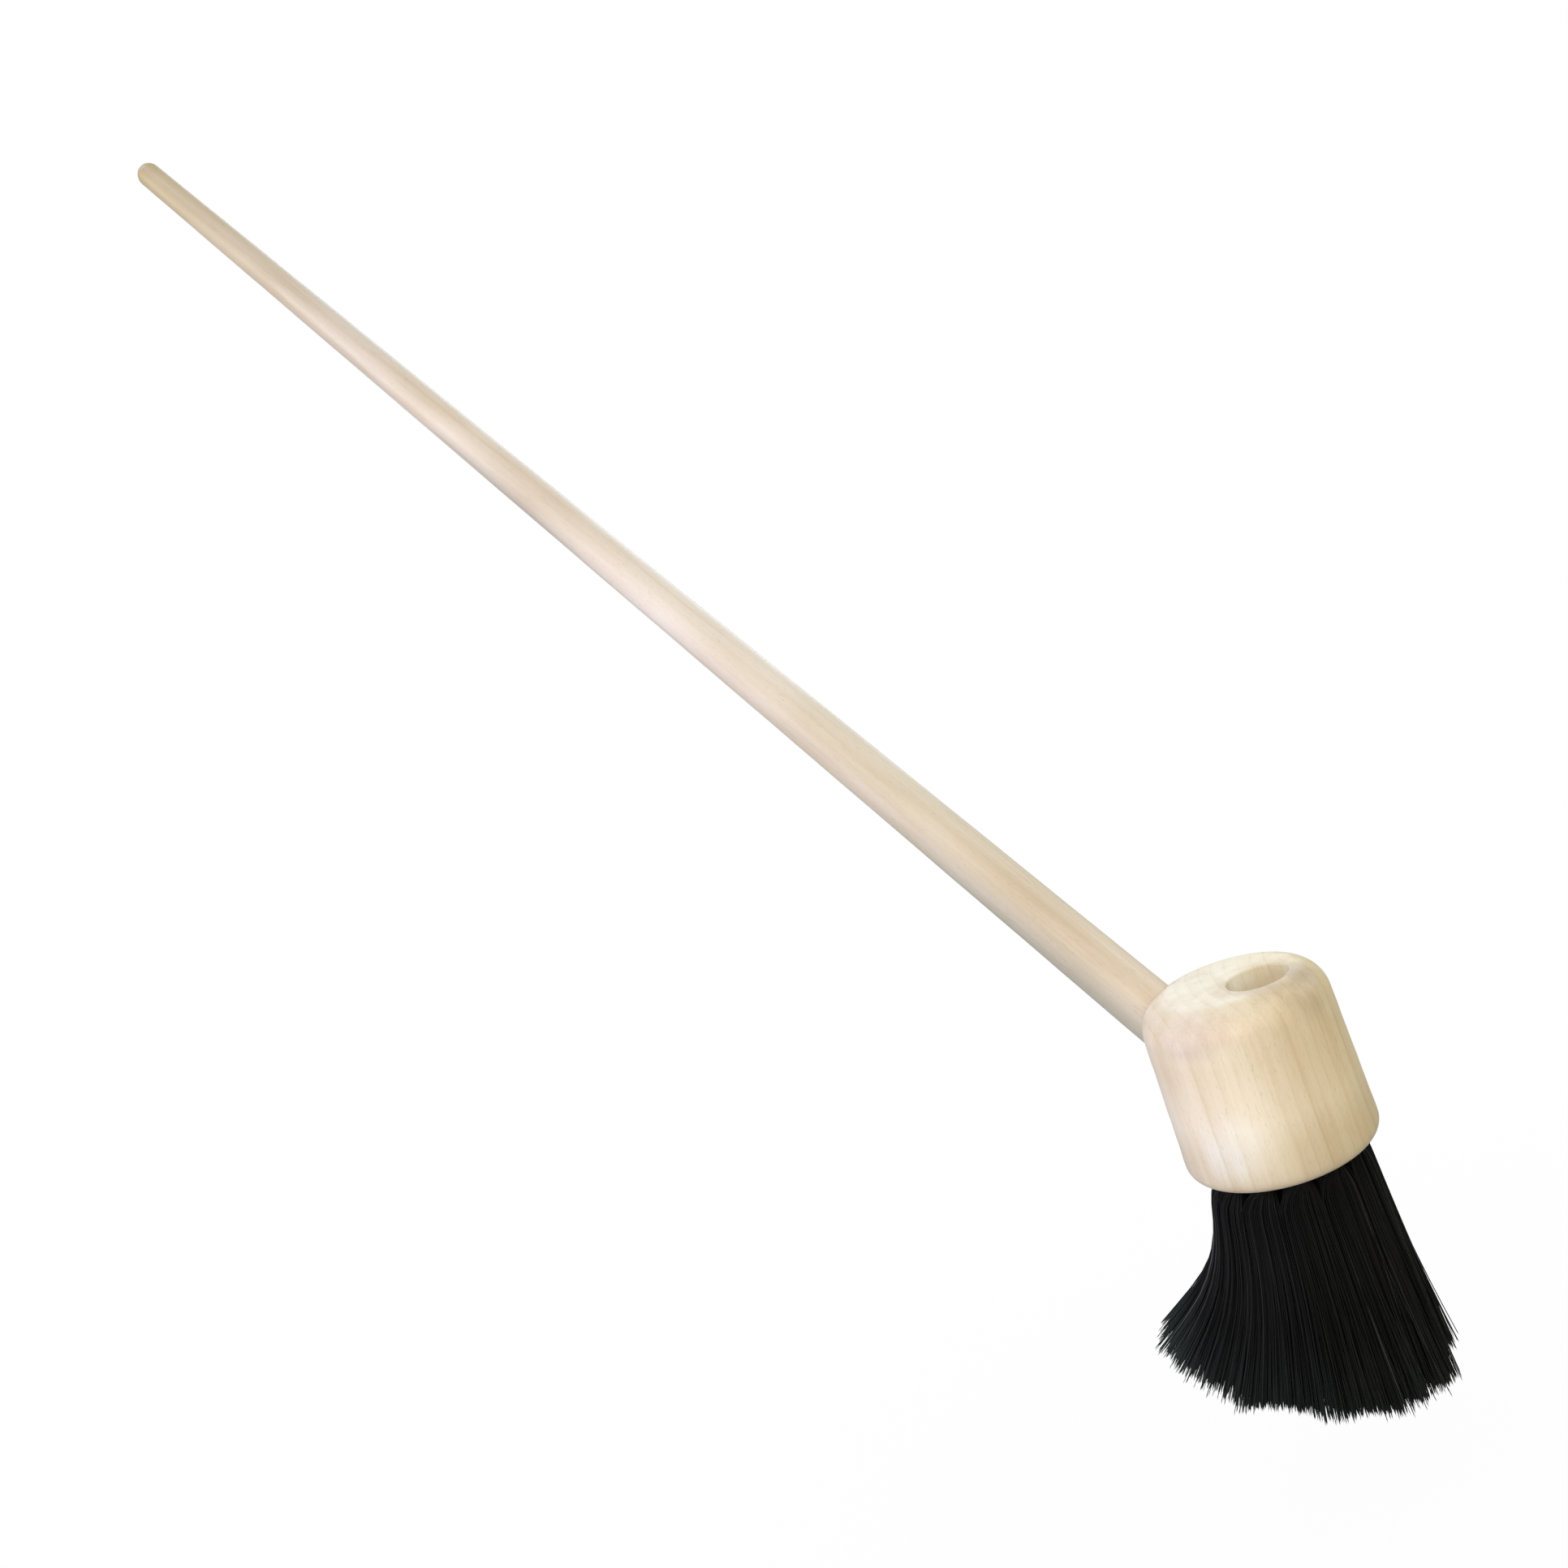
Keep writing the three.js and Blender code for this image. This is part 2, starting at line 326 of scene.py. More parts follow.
def side_point(bearing, depth):
    """A place on the head's side: bearing 0 is towards -Y and 90 towards +X, depth is below the top."""
    a = math.radians(bearing)
    return (FOOT_RADIUS * math.sin(a), -FOOT_RADIUS * math.cos(a), TOP_Z - depth)


def head_material():
    """Pale wood with painted light and shade: tan towards the heart side, partly painted shade there,
    painted shade at the foot and light on the top, a painted gleam low on the front, and painted light and
    shade in and round the socket, whose mouth is partly worn.
    """
    pith = (50 * MM, 40 * MM, 0)
    # Tan towards the heart side: partly the heartwood's own tone, partly painted shade on the side away
    # from the window light.
    heartwood_and_side_shade = [(0.0, (0.99, 0.96, 0.76)), (0.5, (1.0, 1.0, 0.96)), (1.0, (1.0, 1.0, 1.08))]
    # Painted shade towards the foot, where the side curves under, and painted light on the top, with a
    # slightly darker band below the shoulder.
    foot_shade_to_top_light = [
        (0.0, (0.76, 0.74, 0.70)),
        (0.2, (0.85, 0.83, 0.79)),
        (0.38, (1.0, 1.01, 1.04)),
        (0.7, (0.95, 0.93, 0.91)),
        (1.0, (1.03, 1.05, 1.10)),
    ]
    bore = HANDLE_THICK + SOCKET_CLEARANCE
    mouth_reach = bore + 6 * MM
    # Inside the bore, painted light on its wall. Round the mouth, a ring that is partly wear and partly
    # painted shade over the rim.
    painted_bore_light, worn = (1.0, 1.08, 1.22), (0.86, 0.80, 0.72)
    mouth = [
        (0.0, painted_bore_light),
        ((bore + 0.04 * MM) / mouth_reach, painted_bore_light),
        ((bore + 0.2 * MM) / mouth_reach, worn),
        (1.0, PLAIN),
    ]
    # Painted light and shade at the top socket: shade on the near lip, deeper in the wall and on the top
    # beyond the mouth, light high on the far wall.
    shaded_near_lip = (TOP_SOCKET_OFFSET + 0.6 * bore, -bore, TOP_Z)
    lit_wall = (TOP_SOCKET_OFFSET - 0.9 * bore, 0.4 * bore, TOP_Z - 2.5 * MM)
    shaded_wall = (TOP_SOCKET_OFFSET + 0.15 * bore, bore, TOP_Z - 4 * MM)
    shade_beyond_mouth = (TOP_SOCKET_OFFSET + 1.25 * bore, 0.4 * bore, TOP_Z - 1 * MM)
    # Painted shade on the front just below the shoulder, dimming its highlight.
    shade_below_shoulder = side_point(-2, 6.5 * MM)
    # Painted highlight: a soft gleam low on the front of the side, and another at the foot.
    painted_gleam = side_point(3, 41 * MM)
    painted_gleam_foot = side_point(-4, 44 * MM)
    # Painted shade on the shoulder of the side away from the window.
    shaded_shoulder = side_point(80, 3 * MM)
    drifts = [
        (pith, ACROSS, (35 * MM, 93 * MM), heartwood_and_side_shade),
        ((0, 0, FACE_Z), ALONG, (0, HEAD_HEIGHT), foot_shade_to_top_light),
        ((TOP_SOCKET_OFFSET, 0, 0), ACROSS, (0, mouth_reach), mouth),
        spot(shaded_near_lip, 8 * MM, (0.84, 0.80, 0.76)),
        spot(lit_wall, 6 * MM, (1.16, 1.24, 1.36)),
        spot(shaded_wall, 6 * MM, (0.88, 0.84, 0.86)),
        spot(shade_beyond_mouth, 9 * MM, (0.80, 0.79, 0.84)),
        spot(shade_below_shoulder, 16 * MM, (0.88, 0.84, 0.88), (1, 1, 1.9)),
        spot(painted_gleam, 15 * MM, (1.06, 1.13, 1.26)),
        spot(painted_gleam_foot, 10 * MM, (1.08, 1.15, 1.28)),
        spot(shaded_shoulder, 13 * MM, (0.84, 0.84, 0.88)),
    ]
    return wood("pale_head_wood", (0, 0, 0), pith, (0.85, 0.73, 0.56), (0.68, 0.52, 0.33), drifts)


def handle_material():
    """Painted highlights near mid-length, darker at the free end, painted light above and painted shade
    below, deepest at two places.
    """
    lean = math.acos(HANDLE_AXIS.z)
    axis_x = HANDLE_CROSSING.z * math.sin(lean)
    axis_z = HANDLE_CROSSING.z * math.cos(lean)
    pith = (axis_x - 15 * MM, 35 * MM, 0)
    across_rings = [(0.0, (0.97, 0.97, 0.97)), (1.0, (1.0, 1.02, 1.08))]
    # Painted light on the upper side and painted shade on the lower side.
    upper_side = (axis_x + 30 * MM, 25 * MM, 0)
    lit_above_shaded_below = [(0.0, (1.04, 1.06, 1.08)), (1.0, (0.94, 0.95, 0.95))]
    # Along the handle: pale bluish painted highlights near mid-length, and darker towards the free end.
    length = [
        (0.0, (0.92, 0.89, 0.89)),
        (0.25, (0.97, 0.99, 1.02)),
        (0.45, (1.12, 1.17, 1.35)),
        (0.58, (0.99, 0.99, 1.07)),
        (0.67, (1.04, 1.06, 1.17)),
        (0.76, (0.94, 0.95, 1.05)),
        (0.88, (0.85, 0.83, 0.82)),
        (1.0, (0.74, 0.69, 0.54)),
    ]
    # Painted shade on the underside near the head, where the head keeps light off, and near the middle.
    below = math.radians(50)
    below_x = axis_x - HANDLE_THICK * math.sin(below)
    below_y = -HANDLE_THICK * math.cos(below)
    free_end = (axis_x, 0, axis_z + HANDLE_REACH)
    shade_below_head_end = (below_x, below_y, axis_z + TENON_END)
    shade_below_middle = (below_x, below_y, axis_z + 325 * MM)
    drifts = [
        (pith, ACROSS, (29 * MM, 47 * MM), across_rings),
        (upper_side, ACROSS, (30 * MM, 48 * MM), lit_above_shaded_below),
        ((0, 0, axis_z + HANDLE_START), ALONG, (0, HANDLE_REACH - HANDLE_START), length),
        spot(free_end, 14 * MM, (0.9, 0.87, 0.82)),
        spot(shade_below_head_end, 15 * MM, (0.70, 0.76, 0.77), (1, 1, 0.11)),
        spot(shade_below_middle, 12 * MM, (0.82, 0.86, 0.88), (1, 1, 0.2)),
    ]
    return wood("pale_handle_wood", (0, lean, 0), pith, (0.84, 0.71, 0.55), (0.68, 0.53, 0.35), drifts)


head_wood = head_material()
handle_wood = handle_material()


# ------------------------------------------------------------------ steel wire


def steel_wire():
    """Drawn wire: fine lines along the wire and slightly uneven gloss."""
    n = Nodes("drawn_steel_wire")
    place = n.add("ShaderNodeTexCoord").outputs["Object"]
    lines = n.noise(n.mapping(place, scale=(5200, 5200, 700)), detail=2)
    stain = n.noise(place, scale=420, detail=3)
    colour = n.ramp(stain, [(0.3, (0.50, 0.50, 0.51)), (0.7, (0.63, 0.64, 0.65))])
    n.join(colour, n.shader.inputs["Base Color"])
    n.join(n.ramp(lines, [(0.2, 0.28), (0.8, 0.46)]), n.shader.inputs["Roughness"])
    n.shader.inputs["Metallic"].default_value = 1.0
    n.join(n.bump(lines, 0.2, 0.01 * MM), n.shader.inputs["Normal"])
    return n.material


# ------------------------------------------------------------------ head

HEAD_SEGMENTS = 240
SOCKET_SEGMENTS = 120
HOLE_SEGMENTS = 40
HEAD_SIDE_STEPS = 40
FOOT_ROUND_STEPS = 16
SHOULDER_ROUND_STEPS = 24
RIM_ROUND_STEPS = 8

# Degrees by which a round ends short of its quarter, where a point of its own comes next.
SHORT_OF_QUARTER = 2

# How far the top socket's cutter stands out of the wood, and where along the handle's axis, well
# outside the head, the cutter for its socket ends.
OVERCUT = 4 * MM
HANDLE_CUTTER_END = 100 * MM

WAVE_HEIGHT = 0.05 * MM
LONG_WAVE = 2.9 * MM
SHORT_WAVE = 1.3 * MM


def sanding_wave(z):
    """The slight unevenness that sanding leaves along a turned side."""
    return WAVE_HEIGHT * (math.sin(z / LONG_WAVE) * 0.6 + math.sin(z / SHORT_WAVE + 1.0) * 0.4)


def head_profile():
    foot = (FOOT_RADIUS, FACE_Z + FOOT_ROUND)
    shoulder = (SHOULDER_RADIUS, TOP_Z - SHOULDER_ROUND)
    side = [(r + sanding_wave(z), z) for r, z in line(foot, shoulder, HEAD_SIDE_STEPS)]
    return [
        (0, FACE_Z),
        (FIELD_RADIUS, FACE_Z),
        *arc(foot[0] - FOOT_ROUND, foot[1], FOOT_ROUND, -90, 0, FOOT_ROUND_STEPS),
        *side,
        *arc(shoulder[0] - SHOULDER_ROUND, shoulder[1], SHOULDER_ROUND, 0, 90, SHOULDER_ROUND_STEPS),
        (0, TOP_Z),
    ]


def round_cutter(name, radius, low, high, segments):
    profile = [(0, low), (radius, low), (radius, high), (0, high)]
    return add_object(name, turned_mesh(name, profile, segments))


def top_socket_cutter():
    """An upright bore whose mouth is rounded."""
    radius = HANDLE_THICK + SOCKET_CLEARANCE
    rim = TOP_SOCKET_RIM_ROUND
    profile = [
        (0, TOP_Z - TOP_SOCKET_DEPTH),
        (radius, TOP_Z - TOP_SOCKET_DEPTH),
        *arc(radius + rim, TOP_Z - rim, rim, 180, 90 + SHORT_OF_QUARTER, RIM_ROUND_STEPS),
        (radius + rim, TOP_Z + OVERCUT),
        (0, TOP_Z + OVERCUT),
    ]
    cutter = add_object("top_socket", turned_mesh("top_socket", profile, SOCKET_SEGMENTS))
    cutter.location.x = TOP_SOCKET_OFFSET
    return cutter


def handle_socket_cutter():
    """A bore along the handle's own axis, a little longer and wider than the handle's tenon."""
    radius = HANDLE_THICK + SOCKET_CLEARANCE
    floor = HANDLE_START - SOCKET_FLOOR_GAP
    cutter = round_cutter("handle_socket", radius, floor, HANDLE_CUTTER_END, SOCKET_SEGMENTS)
    cutter.rotation_mode = "QUATERNION"
    cutter.rotation_quaternion = HANDLE_AXIS.to_track_quat("Z", "Y")
    cutter.location = HANDLE_CROSSING
    return cutter


def tuft_centre(node):
    """Centre of a tuft's upper end, inside its hole."""
    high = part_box(node)[1]
    top = [v.co for v in frame["nodes"][node].data.vertices if v.co.z > high.z - 0.1 * MM]
    return sum(top, Vector()) / len(top)


TUFT_NODES = sorted(name for name in frame["nodes"] if name.startswith("tuft_"))
STAPLE_NODES = sorted(name for name in frame["nodes"] if name.startswith("staple_"))
TUFT_CENTRES = {node: tuft_centre(node) for node in TUFT_NODES}


def make_head():
    head = add_object("turned_head", turned_mesh("turned_head", head_profile(), HEAD_SEGMENTS))
    cutters = [top_socket_cutter(), handle_socket_cutter()]
    for node, centre in TUFT_CENTRES.items():
        low, high = FACE_Z - HOLE_DEPTH, FACE_Z + HOLE_DEPTH
        hole = round_cutter("hole_" + node, HOLE_RADIUS, low, high, HOLE_SEGMENTS)
        hole.location = (centre.x, centre.y, 0)
        cutters.append(hole)
    cut(head, cutters)
    shade(head.data, angle=math.radians(40))
    head.data.materials.clear()
    head.data.materials.append(head_wood)
    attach(head, "head")
    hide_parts("head_block")


# ------------------------------------------------------------------ handle

HANDLE_SEGMENTS = 96
HANDLE_TAPER_STEPS = 90
HANDLE_END_STEPS = 18

# The handle's sanding waves, as shares of the head's: lower and longer.
HANDLE_WAVE_HEIGHT = 0.6
HANDLE_WAVE_RATE = 0.35


def handle_profile():
    """(r, distance along the axis) from the tenon's end to the rounded free end."""
    thick_end = (HANDLE_THICK, TENON_END)
    thin_end = (HANDLE_THIN, HANDLE_REACH - HANDLE_THIN)
    taper = [
        (r + HANDLE_WAVE_HEIGHT * sanding_wave(z * HANDLE_WAVE_RATE), z)
        for r, z in line(thick_end, thin_end, HANDLE_TAPER_STEPS)
    ]
    return [
        (0, HANDLE_START),
        (HANDLE_THICK - TENON_CHAMFER, HANDLE_START),
        (HANDLE_THICK, HANDLE_START + TENON_CHAMFER),
        thick_end,
        *taper,
        *arc(0, thin_end[1], HANDLE_THIN, 0, 90 - SHORT_OF_QUARTER, HANDLE_END_STEPS),
        (0, HANDLE_REACH),
    ]


def make_handle():
    mesh = turned_mesh("tapered_handle", handle_profile(), HANDLE_SEGMENTS)
    turn = HANDLE_AXIS.to_track_quat("Z", "Y").to_matrix().to_4x4()
    mesh.transform(Matrix.Translation(HANDLE_CROSSING) @ turn)
    shade(mesh, angle=math.radians(35))
    mesh.materials.append(handle_wood)
    handle = add_object("tapered_handle", mesh)
    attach(handle, "handle")
    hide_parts("handle")


# ------------------------------------------------------------------ bristle

STRANDS_PER_TUFT = 900
STRAND_RADIUS = 0.18 * MM
STRAND_SIDES = 3
STRAND_TAPER = 0.3

# Each tuft fills its hole at the root and then opens, over the first part of its length, to its share
# of the field, which reaches the cell's depth inwards and outwards from the tuft's own ring.
ROOT_DEPTH = 6 * MM
ROOT_RADIUS = 3.9 * MM
CELL_DEPTH = 4.9 * MM
FIELD_SHRINK = 0.975
OPEN_PART = 0.16
BRISTLE_SPREAD = 0.12

# Lean from straight down towards -X. It grows across the field, from the +X side, which leans back a
# little, to the -X side, and along the strand between the two parts of its length where it bends.
LEAN_BACK = math.radians(-2.8)
LEAN_AT_ROOT = math.radians(14)
LEAN_AT_TIP = math.radians(50.5)
LEAN_POWER = 1.5
BEND_START = 0.1
BEND_END = 0.78

# How much single strands differ, and how much the loose ones that stand out differ more.
STRAND_JITTER = 0.035
LENGTH_SPREAD = 0.005
TRIM_SPREAD = 0.5 * MM
LOCK_SWAY = math.radians(1.8)
STRAND_LEAN = math.radians(1.4)
STRAND_SWAY = math.radians(1.7)
STRAY_LEAN = math.radians(4)
STRAY_SWAY = math.radians(3.5)

# The bend presses the strands of the -X side together, so these lean more alike and none is loose. Both
# values are for the middle of the field, and each grows by its own change to the +X rim.
LEAN_FREEDOM = 0.75
LEAN_FREEDOM_CHANGE = 0.35
STRAY_SHARE = 0.02
STRAY_SHARE_CHANGE = 0.03

# Neighbours lean alike in locks of this width, and the ends stand in wide and narrow swells.
LOCK_WIDTH = 7 * MM
WIDE_SWELL = 1.1 * MM
WIDE_SWELL_WIDTH = 12 * MM
NARROW_SWELL = 0.5 * MM
NARROW_SWELL_WIDTH = 4 * MM

# The ends are worn short on the -X side. At some places round the rim, given by bearing in degrees from
# -Y towards +X, they are longer or shorter than their neighbours, over a width that is also in degrees.
WORN_LENGTH = 2 * MM
UNEVEN_ENDS = (
    (-67, 3.8 * MM),
    (-33, -2.5 * MM),
    (-22, 3.4 * MM),
    (3, -2.2 * MM),
    (51, 2.3 * MM),
    (88, 3.4 * MM),
    (114, -3.2 * MM),
)
UNEVEN_WIDTH = 9

# Where along its length a strand has points: closer near the root, and one just short of the tip. The
# first point is repeated inside the hole, and the tip is a single vertex, so rings have their own list.
BEND_STEPS = 40
STRAND_PARTS = np.array([0, 0.05, 0.1, 0.15, 0.23, 0.32, 0.41, 0.5, 0.6, 0.72, 0.86, 0.985, 1.0])
RING_PARTS = np.append(0.0, STRAND_PARTS[:-1])

# One stream of random numbers, drawn from tuft by tuft.
random = np.random.default_rng(20)


def field_noise(x, y, wavelength, seed):
    """Smooth noise over the bristle field, mostly between -1 and 1, nearly the same for neighbours."""
    waves = np.random.default_rng(seed)
    total = np.zeros_like(x)
    count = 7
    for _ in range(count):
        heading = waves.uniform(0, 2 * math.pi)
        length = wavelength * waves.uniform(0.7, 1.5)
        phase = waves.uniform(0, 2 * math.pi)
        run = x * math.cos(heading) + y * math.sin(heading)
        total += np.sin(2 * math.pi * run / length + phase)
    return total / math.sqrt(count)


def strand_paths(root_x, root_y, parts, length, extra_lean, side_lean):
    """Points along every strand at the given parts of its length, (strands, parts, 3)."""
    across = np.clip((FIELD_RADIUS - root_x) / (2 * FIELD_RADIUS), 0, 1)
    root = LEAN_BACK + (LEAN_AT_ROOT - LEAN_BACK) * across
    tip = LEAN_BACK + (LEAN_AT_TIP - LEAN_BACK) * across**LEAN_POWER
    fine = (np.arange(BEND_STEPS) + 0.5) / BEND_STEPS
    bend = smoothstep(BEND_START, BEND_END, fine)
    lean = root[:, None] + (tip - root)[:, None] * bend + extra_lean[:, None] * fine
    side = side_lean[:, None] * fine
    step = (length / BEND_STEPS)[:, None]
    along_x = np.cumsum(-np.sin(lean) * np.cos(side) * step, axis=1)
    along_y = np.cumsum(np.sin(side) * step, axis=1)
    along_z = np.cumsum(-np.cos(lean) * np.cos(side) * step, axis=1)
    grid = np.arange(BEND_STEPS + 1) / BEND_STEPS
    points = np.zeros((len(root_x), len(parts), 3))
    for axis, run in enumerate((along_x, along_y, along_z)):
        full = np.concatenate([np.zeros((len(root_x), 1)), run], axis=1)
        for k, part in enumerate(parts):
            low = min(int(part * BEND_STEPS), BEND_STEPS - 1)
            share = (part - grid[low]) * BEND_STEPS
            points[:, k, axis] = full[:, low] * (1 - share) + full[:, low + 1] * share
    points[:, :, 1] += root_y[:, None] * BRISTLE_SPREAD * parts
    return points


def square_from_disc(x, y):
    """Moves points of a unit disc evenly over the square round it."""
    reach = np.hypot(x, y)
    turn = np.arctan2(y, x)
    quarter = np.round(turn / (math.pi / 2)) * math.pi / 2
    slant = (turn - quarter) * 4 / math.pi
    square_x = reach * (np.cos(quarter) - slant * np.sin(quarter))
    square_y = reach * (np.sin(quarter) + slant * np.cos(quarter))
    return square_x, square_y


def field_share(node, disc_x, disc_y):
    """Spreads the points of a unit disc over a tuft's share of the field.

    The centre tuft's share is round, and every other tuft has an equal piece of its ring.
    """
    centre = TUFT_CENTRES[node]
    ring = math.hypot(centre.x, centre.y)
    if ring < CELL_DEPTH:
        return centre.x + CELL_DEPTH * disc_x, centre.y + CELL_DEPTH * disc_y
    ring_name = node.rsplit("_", 1)[0]
    in_ring = sum(name.startswith(ring_name) for name in TUFT_NODES)
    outward, sideways = square_from_disc(disc_x, disc_y)
    radius = FIELD_SHRINK * (ring + CELL_DEPTH * outward)
    angle = math.atan2(centre.y, centre.x) + math.pi / in_ring * sideways
    return radius * np.cos(angle), radius * np.sin(angle)


def uneven_ends(x, y):
    """Extra length of the strands at the uneven places round the rim of the field."""
    bearing = np.degrees(np.arctan2(x, -y))
    near_rim = smoothstep(0.5, 0.9, np.hypot(x, y) / FIELD_RADIUS)
    extra = np.zeros_like(x)
    for place, longer in UNEVEN_ENDS:
        extra += longer * np.exp(-(((bearing - place) / UNEVEN_WIDTH) ** 2))
    return near_rim * extra


def tuft_strands(node):
    """Centre lines of one tuft's strands, from inside the hole to the tip."""
    centre = TUFT_CENTRES[node]
    count = STRANDS_PER_TUFT
    radius = np.sqrt((np.arange(count) + 0.5) / count)
    angle = np.arange(count) * math.pi * (3 - math.sqrt(5)) + random.uniform(0, 2 * math.pi)
    jitter = random.normal(0, STRAND_JITTER, (2, count))
    disc_x = radius * np.cos(angle) + jitter[0]
    disc_y = radius * np.sin(angle) + jitter[1]
    aim_x, aim_y = field_share(node, disc_x, disc_y)

    from_bend = np.clip(aim_x / FIELD_RADIUS, -1, 1)
    length = BRISTLE_LENGTH * (1 + random.normal(0, LENGTH_SPREAD, count))
    length += WIDE_SWELL * field_noise(aim_x, aim_y, WIDE_SWELL_WIDTH, seed=5)
    length += NARROW_SWELL * field_noise(aim_x, aim_y, NARROW_SWELL_WIDTH, seed=6)
    length -= np.abs(random.normal(0, TRIM_SPREAD, count))
    length += uneven_ends(aim_x, aim_y)
    length -= WORN_LENGTH * smoothstep(0.7, 1, -from_bend)

    freedom = LEAN_FREEDOM + LEAN_FREEDOM_CHANGE * from_bend
    lean = LOCK_SWAY * field_noise(aim_x, aim_y, LOCK_WIDTH, seed=7)
    lean = freedom * (lean + random.normal(0, STRAND_LEAN, count))
    side = LOCK_SWAY * field_noise(aim_x, aim_y, LOCK_WIDTH, seed=8)
    side += random.normal(0, STRAND_SWAY, count)
    stray = random.random(count) < STRAY_SHARE + STRAY_SHARE_CHANGE * from_bend
    lean -= stray * np.abs(random.normal(0, STRAY_LEAN, count))
    side += stray * random.normal(0, STRAY_SWAY, count)

    points = strand_paths(aim_x, aim_y, STRAND_PARTS, length, lean, side)
    opening = 1 - np.clip(1 - STRAND_PARTS / OPEN_PART, 0, 1) ** 3
    for axis, middle, disc, aim in ((0, centre.x, disc_x, aim_x), (1, centre.y, disc_y, aim_y)):
        start = (middle + ROOT_RADIUS * disc)[:, None]
        points[:, :, axis] += start + (aim[:, None] - start) * opening
    points[:, :, 2] += FACE_Z
    root = points[:, :1, :].copy()
    root[:, :, 2] += ROOT_DEPTH
    return np.concatenate([root, points], axis=1)


def strand_mesh(name, paths):
    """One closed thin tube per centre line: a cap at the root and a point at the tip."""
    count, rings = paths.shape[0], paths.shape[1] - 1
    tangent = np.gradient(paths, axis=1)
    tangent /= np.linalg.norm(tangent, axis=2, keepdims=True)
    across = np.cross(tangent, (0.0, 1.0, 0.0))
    across /= np.linalg.norm(across, axis=2, keepdims=True)
    other = np.cross(tangent, across)

    thickness = STRAND_RADIUS * random.uniform(0.75, 1.2, count)
    taper = 1 - STRAND_TAPER * RING_PARTS**3
    start = random.uniform(0, 2 * math.pi, count)
    verts = np.zeros((count, rings * STRAND_SIDES + 1, 3))
    for s in range(STRAND_SIDES):
        angle = (start + 2 * math.pi * s / STRAND_SIDES)[:, None, None]
        outward = across[:, :rings] * np.cos(angle) + other[:, :rings] * np.sin(angle)
        verts[:, s : rings * STRAND_SIDES : STRAND_SIDES] = (
            paths[:, :rings] + outward * thickness[:, None, None] * taper[None, :, None]
        )
    verts[:, -1] = paths[:, -1]

    quads = []
    for ring in range(rings - 1):
        for s in range(STRAND_SIDES):
            t = (s + 1) % STRAND_SIDES
            low, high = ring * STRAND_SIDES, (ring + 1) * STRAND_SIDES
            quads.append((low + s, low + t, high + t, high + s))
    last = (rings - 1) * STRAND_SIDES
    tip = rings * STRAND_SIDES
    triangles = [(last + s, last + (s + 1) % STRAND_SIDES, tip) for s in range(STRAND_SIDES)]
    triangles.append(tuple(reversed(range(STRAND_SIDES))))

    per_strand = rings * STRAND_SIDES + 1
    base = (np.arange(count) * per_strand)[:, None, None]
    quads = (np.array(quads)[None] + base).reshape(-1, 4)
    triangles = (np.array(triangles)[None] + base).reshape(-1, 3)
    loops = np.concatenate([quads.ravel(), triangles.ravel()])
    sizes = np.concatenate([np.full(len(quads), 4), np.full(len(triangles), 3)])
    starts = np.concatenate([[0], np.cumsum(sizes)[:-1]])

    mesh = bpy.data.meshes.new(name)
    mesh.vertices.add(count * per_strand)
    mesh.vertices.foreach_set("co", verts.ravel())
    mesh.loops.add(len(loops))
    mesh.loops.foreach_set("vertex_index", loops.astype(np.int32))
    mesh.polygons.add(len(sizes))
    mesh.polygons.foreach_set("loop_start", starts.astype(np.int32))
    mesh.update(calc_edges=True)
    mesh.validate()
    mesh.shade_smooth()
    add_strand_data(mesh, count, rings)
    return mesh


def add_strand_data(mesh, count, rings):
    """Per-strand shade, place along the strand, and a texture cell of its own for every strand."""
    per_strand = rings * STRAND_SIDES + 1
    shade_value = np.repeat(random.random(count), per_strand)
    along = np.append(np.repeat(RING_PARTS, STRAND_SIDES), 1.0)
    for name, values in (("strand_shade", shade_value), ("strand_along", np.tile(along, count))):
        attribute = mesh.attributes.new(name, "FLOAT", "POINT")
        attribute.data.foreach_set("value", values.astype(np.float32))

    cells_per_row = math.ceil(math.sqrt(count))
    vertex = np.zeros(len(mesh.loops), np.int32)
    mesh.loops.foreach_get("vertex_index", vertex)
    strand, local = vertex // per_strand, vertex % per_strand
    margin = 0.15
    around = np.where(local == per_strand - 1, 0.5, (local % STRAND_SIDES) / (STRAND_SIDES - 1))
    u = (strand % cells_per_row + margin + (1 - 2 * margin) * around) / cells_per_row
    v = (strand // cells_per_row + margin + (1 - 2 * margin) * along[local]) / cells_per_row
    layer = mesh.uv_layers.new(name="OFBake")
    layer.data.foreach_set("uv", np.stack([u, v], axis=1).ravel().astype(np.float32))


